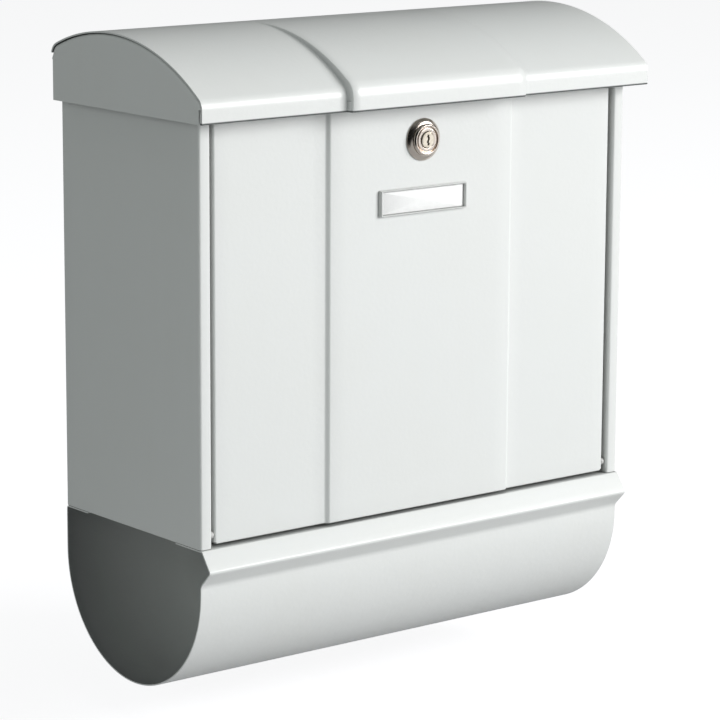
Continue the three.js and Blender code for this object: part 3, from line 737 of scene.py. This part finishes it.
def makeTube():
    # One sheet carried along X: flange, back, half circle, front, V bead, flange.
    t = tube
    top = tubeHigh.z
    radius = -frontY / 2
    middle = [-radius, baseZ - t["arcDrop"]]
    halfRound = arcPoints(middle, radius, 0, -math.pi, 64)
    start = roundedPath([[-t["backFlange"], top], [0, top], halfRound[0]], [t["backBend"]], 6)
    bead = roundedPath([
        halfRound[-1], [frontY, baseZ - t["beadHeight"]], [tubeLow.y, baseZ - t["beadDrop"]],
        [frontY - t["beadLedge"], top], [frontY + t["frontFlange"], top],
    ], t["beadBends"], 8)
    section = refined(np.concatenate([start[:-1], halfRound, bead[1:]]), 6 * mm)
    points = surface(np.linspace(-halfX, halfX, 41)[:, None], section[:, 0], section[:, 1])
    sheetPiece("newspaperTube", points, paint, "box", "newspaper_tube", edge=0.3 * mm, inside=leftShadeCoat)


makeTube()
print("tube made")


# door

door = {
    "panelHalf": 76.0 * mm,
    "panelSlope": 3.5 * mm,
    "panelRise": 2.3 * mm,
    "bend": 1.4 * mm,
    "flange": 10.0 * mm,
    "reachDown": 1.1 * mm,  # lower edge beyond the plain panel
    "lockHole": 8.8 * mm,
}


def makeDoor():
    # A pan: the front with a raised middle h(x), bends on four sides and flanges behind them.
    d = door
    half, low, high = doorHigh.x, doorLow.z - d["reachDown"], doorHigh.z
    face = doorLow.y + d["panelRise"]
    backY = face + d["flange"]
    bend = d["bend"]
    turn = np.linspace(0, 1, 7)[1:]
    edge = d["panelHalf"] + d["panelSlope"]
    slope = np.linspace(d["panelHalf"], edge, 9)
    reach = np.linspace(-1.7, 1.7, 13) * d["lockHole"]
    x = lines(
        np.linspace(-half + bend, -edge, 9), -slope, np.linspace(-d["panelHalf"], d["panelHalf"], 13),
        reach, slope, np.linspace(edge, half - bend, 9),
    )
    x = x[(np.abs(x) <= reach[-1] + 1e-9) <= np.isin(np.round(x, 7), np.round(reach, 7))]
    z = lines(np.linspace(low + bend, high - bend, 26), lockZ + reach)
    z = z[(np.abs(z - lockZ) <= reach[-1] + 1e-9) <= np.isin(np.round(z, 7), np.round(lockZ + reach, 7))]

    def padded(inner):
        # Grid position, and how far round the bend and along the flange (both 0..1) a line is.
        bentOut, along = np.concatenate([turn, np.ones(3)]), np.concatenate([0 * turn, [0.33, 0.66, 1]])
        middle = np.zeros(len(inner))
        bent = np.concatenate([bentOut[::-1], middle, bentOut])
        flange = np.concatenate([along[::-1], middle, along])
        sign = np.pad(middle, len(bentOut), constant_values=(-1, 1))
        base = np.pad(inner, len(bentOut), "edge")
        return base + sign * bend * np.sin(bent * math.pi / 2), bent, flange, sign != 0

    px, bentX, flangeX, outX = padded(x)
    pz, bentZ, flangeZ, outZ = padded(z)
    rise = d["panelRise"] * smoothStep((edge - np.abs(px)) / d["panelSlope"])
    front = face - rise
    bent = np.maximum(bentX[:, None], bentZ[None, :])
    flange = np.maximum(flangeX[:, None], flangeZ[None, :])
    start = front[:, None] + bend * (1 - np.cos(bent * math.pi / 2))
    y = start + flange * (backY - start)
    points = surface(px[:, None], y, pz)
    keep = ~((outX[:-1] | outX[1:])[:, None] & (outZ[:-1] | outZ[1:]))
    r = np.flatnonzero(np.abs(px) <= reach[-1] + 1e-7)
    c = np.flatnonzero(np.abs(pz - lockZ) <= reach[-1] + 1e-7)
    hole = (r[0], r[-1], c[0], c[-1], ringOnY((0.0, lockZ), d["lockHole"]))
    sheetPiece("doorPanel", points, doorPaint, "door", "door_panel", keep=keep, holes=[hole])


makeDoor()
print("door made")


# inner sheets

inner = {
    "railLip": 5.0 * mm,  # cross rail's lower back edge
    "railBends": [1.8 * mm, 1.8 * mm],
    "guardFoot": 6.0 * mm,  # guard's lower edge below the lid's underside, and its fold above
    "guardFold": 7.0 * mm,
    "guardTop": 0.3 * mm,
    "guardLip": 8.0 * mm,
    "guardBends": [2.0 * mm, 2.2 * mm],
    "trayBend": 2.0 * mm,
    "step": 8.0 * mm,  # longest leg of a section
    "columns": 31,
}


def makeInner():
    # Three sheets, each one bent section carried along X.
    n = inner

    def strip(name, node, bends, steps, flip, corners):
        low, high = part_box(node)
        section = refined(roundedPath(corners(low, high), bends, steps), n["step"])
        points = surface(np.linspace(low.x, high.x, n["columns"])[:, None], section[:, 0], section[:, 1])
        sheetPiece(name, points, paintInside, "box", node, flip=flip)

    strip("crossRail", "cross_rail", n["railBends"], 5, False, lambda low, high: [
        [low.y, low.z], [low.y, high.z], [high.y, high.z], [high.y, high.z - n["railLip"]],
    ])
    strip("letterGuard", "letter_guard", n["guardBends"], 6, False, lambda low, high: [
        [high.y - sheetT, lidZ - n["guardFoot"]], [high.y - sheetT, lidZ + n["guardFold"]],
        [low.y + n["guardTop"], high.z - sheetT], [low.y + n["guardLip"], low.z],
    ])
    strip("floorTray", "floor_tray", [n["trayBend"]], 6, True, lambda low, high: [
        [low.y, low.z], [high.y, low.z], [high.y, high.z],
    ])


makeInner()
print("inner sheets made")


# fasteners and small parts; nib is the small flat at the middle of a turned piece

nib = 0.1 * mm
screw = {
    "head": 2.5 * mm,
    "headRadius": 4.0 * mm,
    "shank": 2.0 * mm,  # radius
    "bends": np.array([1.6, 0.2, 0.2, 0.5]) * mm,
}
nut = {
    "flat": 3.46 * mm,  # half the width across flats
    "bore": 2.3 * mm,
    "chamfer": 0.45 * mm,
    "lead": 0.25 * mm,  # chamfer of the bore
    "count": 72,
}


def nodePlace(node, axis):
    # A node's middle, with 0 along one axis, and its corners.
    low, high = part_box(node)
    middle = [(a + b) / 2 for a, b in zip(low, high)]
    middle["xyz".index(axis)] = 0
    return middle, low, high


def makeScrews():
    # A pan head, domed on top, over a plain shank, and a hexagon nut.
    for i in range(1, 5):
        node = f"tube_screw_{i}"
        place, low, high = nodePlace(node, "z")
        seat = high[2] - screw["head"]
        profile = roundedPath([
            [2 * nib, high[2]], [screw["headRadius"], high[2] - nib], [screw["headRadius"], seat],
            [screw["shank"], seat], [screw["shank"], low[2]], [2 * nib, low[2]],
        ], screw["bends"], 5)
        lathe(f"tubeScrew{i}", "z", place, profile, zinc, "box", node)
        node = f"tube_nut_{i}"
        place, low, high = nodePlace(node, "z")
        hexNut(f"tubeNut{i}", "z", place, nut["flat"], nut["bore"], low[2], high[2], node, "box")


def hexNut(name, axis, centre, flat, bore, low, high, node, body):
    # Hexagon cut by a chamfer cone at both faces, round a bore; flat is half the width across flats,
    # and a side's radius is flat over the cosine of the turn from its middle.
    direction = circlePoints(1.0, nut["count"])
    bearing = np.arange(nut["count"]) * 2 * math.pi / nut["count"]
    side = flat / np.cos(bearing % (math.pi / 3) - math.pi / 6)
    cut, lead = nut["chamfer"], nut["lead"]
    corner = np.minimum(side, flat * 1.06)
    face = np.full_like(side, flat * 0.97)
    mouth, hole = np.full_like(side, bore + lead), np.full_like(side, bore)
    stations = (
        (mouth, low), (face, low), (corner, low + cut * 0.6), (side, low + cut * 1.6),
        (side, high - cut * 1.6), (corner, high - cut * 0.6), (face, high), (mouth, high),
        (hole, high - lead), (hole, low + lead),
    )
    loops = [alongAxis(axis, centre, direction * radius[:, None], height) for radius, height in stations]
    loft(name, loops, zinc, body, node, ring=True, smooth=False)


rod = {
    "endBend": 0.6 * mm,
    "clipBore": 2.8 * mm,
    "clipFace": 3.6 * mm,  # where the clip's flat back and its crown start
    "clipCrown": 3.9 * mm,
}


def makeRodAndClips():
    # The rod is a plain bar with rounded ends; each push-on clip is a crowned ring.
    low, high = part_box("lid_hinge_rod")
    r = (high[2] - low[2]) / 2
    corners = [[2 * nib, low[0]], [r, low[0]], [r, high[0]], [2 * nib, high[0]]]
    profile = roundedPath(corners, [rod["endBend"]] * 2, 4)
    lathe("lidHingeRod", "x", (0, rodY, rodZ), profile, zinc, "box", "lid_hinge_rod")
    for word in ("Left", "Right"):
        node = f"rod_clip_{word.lower()}"
        low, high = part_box(node)
        outer = (high[2] - low[2]) / 2
        profile = [
            [rod["clipBore"], low[0] + 0.25 * mm], [rod["clipBore"], high[0] - nib],
            [rod["clipCrown"], high[0]], [outer - 0.3 * mm, low[0] + 0.7 * mm],
            [outer, low[0] + 0.35 * mm], [outer - 0.2 * mm, low[0]], [rod["clipFace"], low[0]],
        ]
        lathe(f"rodClip{word}", "x", (0, rodY, rodZ), profile, zinc, "box", node, ring=True)


rivet = {
    "bulb": 2.4 * mm,  # radius and height of the blind end
    "bulbHeight": 1.2,
    "shank": 1.6 * mm,
    "head": 3.2 * mm,
    "headTop": 3.0 * mm,
    "headHeight": 1.0,
    "bends": np.array([0.5, 0.1, 0.1, 0.1, 0.15, 0.7]) * mm,
}


def makeRivets():
    # A blind rivet's bulb, shank and domed head; out is one millimetre outwards along X.
    r = rivet
    for word, side in (("left", -1), ("right", 1)):
        for i in (1, 2):
            node = f"guard_rivet_{word}_{i}"
            place, low, high = nodePlace(node, "x")
            near, far = (high[0], low[0]) if side < 0 else (low[0], high[0])
            out = side * mm
            bulbEnd, seat = near + r["bulbHeight"] * out, far - r["headHeight"] * out
            profile = roundedPath([
                [nib, near], [r["bulb"], near], [r["bulb"], bulbEnd], [r["shank"], bulbEnd],
                [r["shank"], seat], [r["head"], seat], [r["headTop"], far], [nib, far],
            ], r["bends"], 4)
            lathe(f"guardRivet{word.title()}{i}", "x", place, profile, zinc, "box", node,
                  count=40)


buffer = {
    "body": 3.8 * mm,  # height of the seat above the stem's end
    "top": 3.0 * mm,
    "rim": 4.0 * mm,
    "stem": 1.7 * mm,
    "bulb": 2.6 * mm,
    "bends": np.array([1.2, 0.6, 0.1, 0.1, 0.3, 0.5]) * mm,
}


def makeBuffers():
    # A rubber button: a tapered body over a stem with a bulb that holds it in its hole.
    b = buffer
    for word in ("Left", "Right"):
        node = f"lid_buffer_{word.lower()}"
        place, low, high = nodePlace(node, "z")
        seat = low[2] + b["body"]
        profile = roundedPath([
            [nib, high[2]], [b["top"], high[2]], [b["rim"], seat], [b["stem"], seat],
            [b["stem"], low[2] + 2.2 * mm], [b["bulb"], low[2] + 2.0 * mm],
            [1.6 * mm, low[2]], [nib, low[2]],
        ], b["bends"], 5)
        lathe(f"lidBuffer{word}", "z", place, profile, rubber, "box", node)


pin = {
    "shank": 1.5 * mm,
    "head": 3.0 * mm,
    "headHeight": 1.6,
    "bends": np.array([0.4, 0.1, 0.2, 0.7]) * mm,
    "washerBore": 1.8 * mm,
    "washerBend": 0.2 * mm,
}


def makeDoorPins():
    # Pins from the rails into the door's flanges, each with a washer between the two.
    place = (0, pinY, pinZ)
    for word, side in (("Left", -1), ("Right", 1)):
        node = f"door_pin_{word.lower()}"
        low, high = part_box(node)
        tip, headEnd = (high[0], low[0]) if side < 0 else (low[0], high[0])
        seat = headEnd - pin["headHeight"] * side * mm
        profile = roundedPath([
            [nib, tip], [pin["shank"], tip], [pin["shank"], seat], [pin["head"], seat],
            [pin["head"], headEnd], [nib, headEnd],
        ], pin["bends"], 4)
        lathe(f"doorPin{word}", "x", place, profile, zinc, "box", node, count=40)
        node = f"door_washer_{word.lower()}"
        low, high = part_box(node)
        bore, rim = pin["washerBore"], (high[1] - low[1]) / 2
        half = [bore, (low[0] + high[0]) / 2]
        corners = [half, [bore, low[0]], [rim, low[0]], [rim, high[0]], [bore, high[0]], half]
        profile = roundedPath(corners, [pin["washerBend"]] * 4, 4)[:-1]
        lathe(f"doorWasher{word}", "x", place, profile, nylon, "box", node, ring=True,
              count=40)


makeScrews()
makeRodAndClips()
makeRivets()
makeBuffers()
makeDoorPins()
print("fasteners made")


# name plate

def rectLoop(across, up, corner, y, middle, steps=5):
    # A rounded rectangle about middle in the plane of the door, as one loop.
    parts = []
    for k, (sx, sz) in enumerate(((1, 1), (-1, 1), (-1, -1), (1, -1))):
        centre = (sx * (across - corner), sz * (up - corner))
        parts.append(arcPoints(centre, corner, k * math.pi / 2, (k + 1) * math.pi / 2, steps))
    flat = np.concatenate(parts)
    return alongAxis("y", (middle[0], 0, middle[2]), flat, y)


plate = {
    "end": 2.1 * mm,  # border at the two ends
    "rim": 1.1 * mm,  # and along the top and bottom
    "corner": 0.4 * mm,
}


def makeNameplate():
    # The frame is a rounded rim of loops drawn in from its outline; card and window are thin slabs.
    middle, low, high = nodePlace("nameplate_frame", "y")
    front = low[1]
    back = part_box("name_card")[1].y
    hx, hz = (high[0] - low[0]) / 2, (high[2] - low[2]) / 2
    # outer foot, outer slope, rounded rim, inner slope and inner foot, as a share of the border
    steps = [(0.0, back), (0.02, back - 0.5 * mm), (0.30, front + 0.25 * mm), (0.42, front), (0.60, front),
             (0.72, front + 0.12 * mm), (1.0, front + 0.5 * mm), (1.0, back)]
    loops = [rectLoop(hx - plate["end"] * share, hz - plate["rim"] * share, plate["corner"], y, middle)
             for share, y in steps]
    loft("nameplateFrame", loops, framePlastic, "door", "nameplate_frame", ring=True)

    def slab(name, node, look, corner, chamfer, depth, steps):
        middle, low, high = nodePlace(node, "y")
        hx, hz = (high[0] - low[0]) / 2, (high[2] - low[2]) / 2
        stations = ((chamfer, high[1]), (0, high[1] - depth), (0, low[1] + depth), (chamfer, low[1]))
        loops = [rectLoop(hx - inset, hz - inset, corner, y, middle, steps) for inset, y in stations]
        loft(name, loops, look, "door", node)

    slab("nameCard", "name_card", paper, 0.2 * mm, 0.06 * mm, 0.05 * mm, 3)
    slab("nameplateWindow", "nameplate_window", acrylic, 0.3 * mm, 0.2 * mm, 0.15 * mm, 4)


makeNameplate()
print("name plate made")


# lock

# lengths of the lock and cam, written in millimetres
lock = {
    "rosetteBore": 8.9, "rosetteFlat": 10.9, "rosetteSlope": 12.3, "rosetteRadius": 14.0,
    "rosetteBends": np.array([0.15, 1.6, 1.6, 0.4]),
    # the housing's ring round the plug, a groove outside it, the collar, and the barrel behind
    "faceBore": 5.6, "faceRadius": 7.7, "faceSink": 0.35,
    "grooveFrom": 8.0, "grooveTo": 8.7, "grooveDepth": 1.5,
    "collarFrom": 8.9, "collarFlat": 9.7, "collarRadius": 10.6, "collarSlope": 0.9,
    "headBack": 1.9, "barrel": 8.5, "nutBore": 8.8,
    "housingBends": np.array([0.2, 0.25, 0.1, 0.1, 0.25, 0.25, 0.3, 0.1, 0.1]),
    # the plug's face, lower outside plugRim, and its key slot, which the ward shifts sideways
    "plugFace": 4.9, "plugRim": 4.3, "rimSink": 0.12, "plugRadius": 5.3,
    "slotHalf": 0.75, "slotReach": 3.5, "slotDepth": 5.0, "wardShift": 0.35, "wardReach": 2.6,
    # the plug's square end, the cam and its screw
    "tangHalf": 3.0, "tangShoulder": 4.24, "tang": 2.1,
    "camHalf": 7.0, "camHole": 3.3, "camEdge": 0.2, "holeEdge": 0.15,
    "screwHead": 4.5, "screwHeight": 2.0, "screwShank": 1.6, "screwBends": np.array([1.4, 0.2, 0.1, 0.4]),
}
lock = {part: value * mm for part, value in lock.items()}


def makeLock():
    # Turned rosette, housing and nut, and the plug: a polar face whose depth carries the key slot
    # and a rim, then its barrel and square end.
    k = lock
    axisPoint = (0, 0, lockZ)
    low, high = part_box("lock_rosette")
    back, front = high[1], low[1]
    profile = roundedPath([
        [k["rosetteBore"], back], [k["rosetteBore"], front], [k["rosetteFlat"], front],
        [k["rosetteSlope"], front + 0.7 * mm],
        [k["rosetteRadius"], back - 0.5 * mm], [k["rosetteRadius"], back],
    ], k["rosetteBends"], 7)
    lathe("lockRosette", "y", axisPoint, profile, nickel, "door", "lock_rosette", True, 96)

    low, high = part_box("lock_housing")
    front, end = low[1], high[1]
    face, groove, headBack = front + k["faceSink"], front + k["grooveDepth"], front + k["headBack"]
    profile = roundedPath([
        [k["faceBore"], end], [k["faceBore"], face], [k["faceRadius"], face], [k["grooveFrom"], groove],
        [k["grooveTo"], groove], [k["collarFrom"], front], [k["collarFlat"], front],
        [k["collarRadius"], front + k["collarSlope"]], [k["collarRadius"], headBack],
        [k["barrel"], headBack], [k["barrel"], end],
    ], k["housingBends"], 4)
    lathe("lockHousing", "y", axisPoint, profile, nickel, "door", "lock_housing", True, 96)

    low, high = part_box("lock_nut")
    flat = (high[2] - low[2]) / 2
    hexNut("lockNut", "y", axisPoint, flat, k["nutBore"], low[1], high[1], "lock_nut", "door")

    low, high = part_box("lock_plug")
    front, end = low[1], high[1]
    direction = circlePoints(1.0, 160)
    radii = np.linspace(nib, k["plugFace"], 60)
    u, v = radii[:, None] * direction[:, 0], radii[:, None] * direction[:, 1]
    ward = k["wardShift"] * np.sign(np.sin(v / mm * 1.6)) * (np.abs(v) < k["wardReach"])
    inSlot = (np.abs(u - ward) < k["slotHalf"]) & (np.abs(v) < k["slotReach"])
    depth = front + inSlot * k["slotDepth"] + k["rimSink"] * (radii[:, None] > k["plugRim"])
    faceLoops = [alongAxis("y", axisPoint, np.stack([a, b], -1), c) for a, b, c in zip(u, v, depth)]
    barrelEnd = end - k["tang"]
    rings = (
        (k["plugRadius"] - 0.15 * mm, front + 0.25 * mm), (k["plugRadius"], front + 0.5 * mm),
        (k["plugRadius"], barrelEnd), (k["tangShoulder"], barrelEnd),
    )
    barrel = [alongAxis("y", axisPoint, direction * r, h) for r, h in rings]
    square = direction * (k["tangHalf"] / np.abs(direction).max(1))[:, None]
    tang = [alongAxis("y", axisPoint, square, h) for h in (barrelEnd, end)]
    loft("lockPlug", faceLoops + barrel + tang, plugNickel, "lock", "lock_plug", smooth=False)


def makeCam():
    # A flat cam with a round eye, a square hole and a rounded tip, as loops about the hole.
    k = lock
    low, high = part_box("lock_cam")
    front, back = low[1], high[1]
    direction = circlePoints(1.0, 96)
    hole = direction * (k["camHole"] / np.abs(direction).max(1))[:, None]
    halfW, reach = k["camHalf"], high[0]
    c = np.maximum(direction[:, 0], 1e-6)
    s = np.maximum(np.abs(direction[:, 1]), 1e-6)
    straight = np.minimum(reach / c, halfW / s)
    outer = direction * np.where(direction[:, 0] > 0, straight, halfW)[:, None]
    grow = lambda loop, by: loop * (1 + by / np.linalg.norm(loop, axis=1))[:, None]
    rim, mouth = grow(outer, -k["camEdge"]), grow(hole, k["holeEdge"])
    stations = (
        (mouth, front), (rim, front), (outer, front + k["camEdge"]), (outer, back - k["camEdge"]),
        (rim, back), (mouth, back), (hole, back - k["holeEdge"]), (hole, front + k["holeEdge"]),
    )
    loops = [alongAxis("y", (0, 0, lockZ), across, y) for across, y in stations]
    loft("lockCam", loops, darkZinc, "lock", "lock_cam", ring=True, smooth=False)
    low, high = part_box("cam_screw")
    seat = high[1] - k["screwHeight"]
    profile = roundedPath([
        [nib, high[1]], [k["screwHead"], high[1] - nib], [k["screwHead"], seat], [k["screwShank"], seat],
        [k["screwShank"], low[1]], [nib, low[1]],
    ], k["screwBends"], 5)
    lathe("camScrew", "y", (0, 0, lockZ), profile, zinc, "lock", "cam_screw")


makeLock()
makeCam()
print("lock made")

# CAD nodes that keep their own shape
for nodeName in ("lid_bracket_left", "lid_bracket_right"):
    node = frame["nodes"][nodeName]
    node.data.materials.clear()
    node.data.materials.append(paintInside)


# floor, light and camera

stage = {
    "floorDrop": 30 * mm,
    "floorSize": 14.0,
    "floorShade": rgba(0.60, 0.60, 0.61),  # light thrown back
    "floorFlag": rgba(0.012, 0.012, 0.012),  # what metal reflects of it, on the left
    "floorSeen": rgba(0.34, 0.34, 0.36),
    "floorGlow": 0.84,
    "ambientColour": rgba(0.94, 1.0, 0.98),
    "ambient": 0.20,
    "reflected": 0.008,
    "turn": (38.62, -11.46, 0.27),  # camera's yaw, pitch and roll in degrees
    "lens": 160.22,
    "eye": (-1.332594, -1.758070, 0.524391),  # above the box's base
}


def makeFloor():
    # Seen by the camera it is pale; as a light source it is matt, and dark at the left for metal.
    half = stage["floorSize"]
    z = cadLow.z - stage["floorDrop"]
    u = np.linspace(-half, half, 3)
    points = np.stack([np.repeat(u, 3), np.tile(u, 3), np.full(9, z)], -1)
    mesh = bpy.data.meshes.new("floor")
    mesh.from_pydata(points.tolist(), [], gridFaces(3, 3).tolist())
    floor = linked("floor", mesh)
    g = materialGraph("paleFloor")
    glossy = g.node("ShaderNodeLightPath", out="Is Glossy Ray")
    bounce = g.mixColour(glossy * g.spread(g.part(0), -0.35, -0.6), stage["floorShade"], stage["floorFlag"])
    matt = g.node("ShaderNodeBsdfDiffuse", {}, {"Color": bounce})
    shaded = g.node("ShaderNodeBsdfDiffuse", {}, {"Color": stage["floorSeen"]})
    lit = g.node("ShaderNodeEmission", {}, {"Strength": stage["floorGlow"]})
    pale = g.node("ShaderNodeAddShader", {}, {0: shaded, 1: lit})
    mesh.materials.append(g.output(g.byRay("Is Camera Ray", matt, pale)))


def makeWorld():
    # even light from all round, dim where metal reflects it; the background itself is plain white
    world = bpy.data.worlds.new("studio")
    bpy.context.scene.world = world
    g = Graph(world)
    tint = stage["ambientColour"]
    soft = g.node("ShaderNodeBackground", {}, {"Color": tint, "Strength": stage["ambient"]})
    plain = g.node("ShaderNodeBackground", {}, {"Color": rgba(1, 1, 1)})
    dark = g.node("ShaderNodeBackground", {}, {"Color": tint, "Strength": stage["reflected"]})
    around = g.byRay("Is Glossy Ray", soft, dark)
    g.output(g.byRay("Is Camera Ray", around, plain), "ShaderNodeOutputWorld")


def areaLight(name, place, target, size, power, colour=(1, 1, 1)):
    # A rectangular light at place, turned to face target.
    data = bpy.data.lights.new(name, "AREA")
    data.shape = "RECTANGLE"
    data.size, data.size_y = size
    data.energy = power
    data.color = colour
    made = linked(name, data)
    made.location = place
    aim = Vector(target) - Vector(place)
    made.rotation_mode = "QUATERNION"
    made.rotation_quaternion = aim.to_track_quat("-Z", "Y")
    return made


def makeLights():
    # The key stands front right, the other two are faint; the side light is not seen in metal.
    areaLight("key", (2.75, -3.2, 1.37), (0, 0, 0), (2.4, 2.0), 188)
    areaLight("top", (0.0, -0.2, 3.0), (0, 0, 0), (2.4, 2.4), 14)
    side = areaLight("side", (-3.3, -1.1, 1.35), (0, 0, 0.1), (1.6, 1.6), 13, (0.93, 1.0, 0.97))
    side.visible_glossy = False


def makeCamera():
    # Axes from yaw and pitch: forward, right level with the floor, up across both; then rolled.
    yaw, pitch, roll = (math.radians(angle) for angle in stage["turn"])
    forward = Vector((math.sin(yaw) * math.cos(pitch), math.cos(yaw) * math.cos(pitch), math.sin(pitch)))
    right = Vector((math.cos(yaw), -math.sin(yaw), 0))
    up = right.cross(forward)
    right, up = (math.cos(roll) * right + math.sin(roll) * up, math.cos(roll) * up - math.sin(roll) * right)
    data = bpy.data.cameras.new("camera")
    data.lens = stage["lens"]
    data.sensor_width = 36.0
    data.clip_end = 60
    camera = linked("camera", data)
    turn = Matrix((right, up, -forward)).transposed().to_4x4()
    x, y, z = stage["eye"]
    camera.matrix_world = Matrix.Translation((x, y, z + baseZ)) @ turn
    bpy.context.scene.camera = camera


makeFloor()
makeWorld()
makeLights()
makeCamera()
bpy.context.scene.view_settings.view_transform = "Standard"
print("stage made")
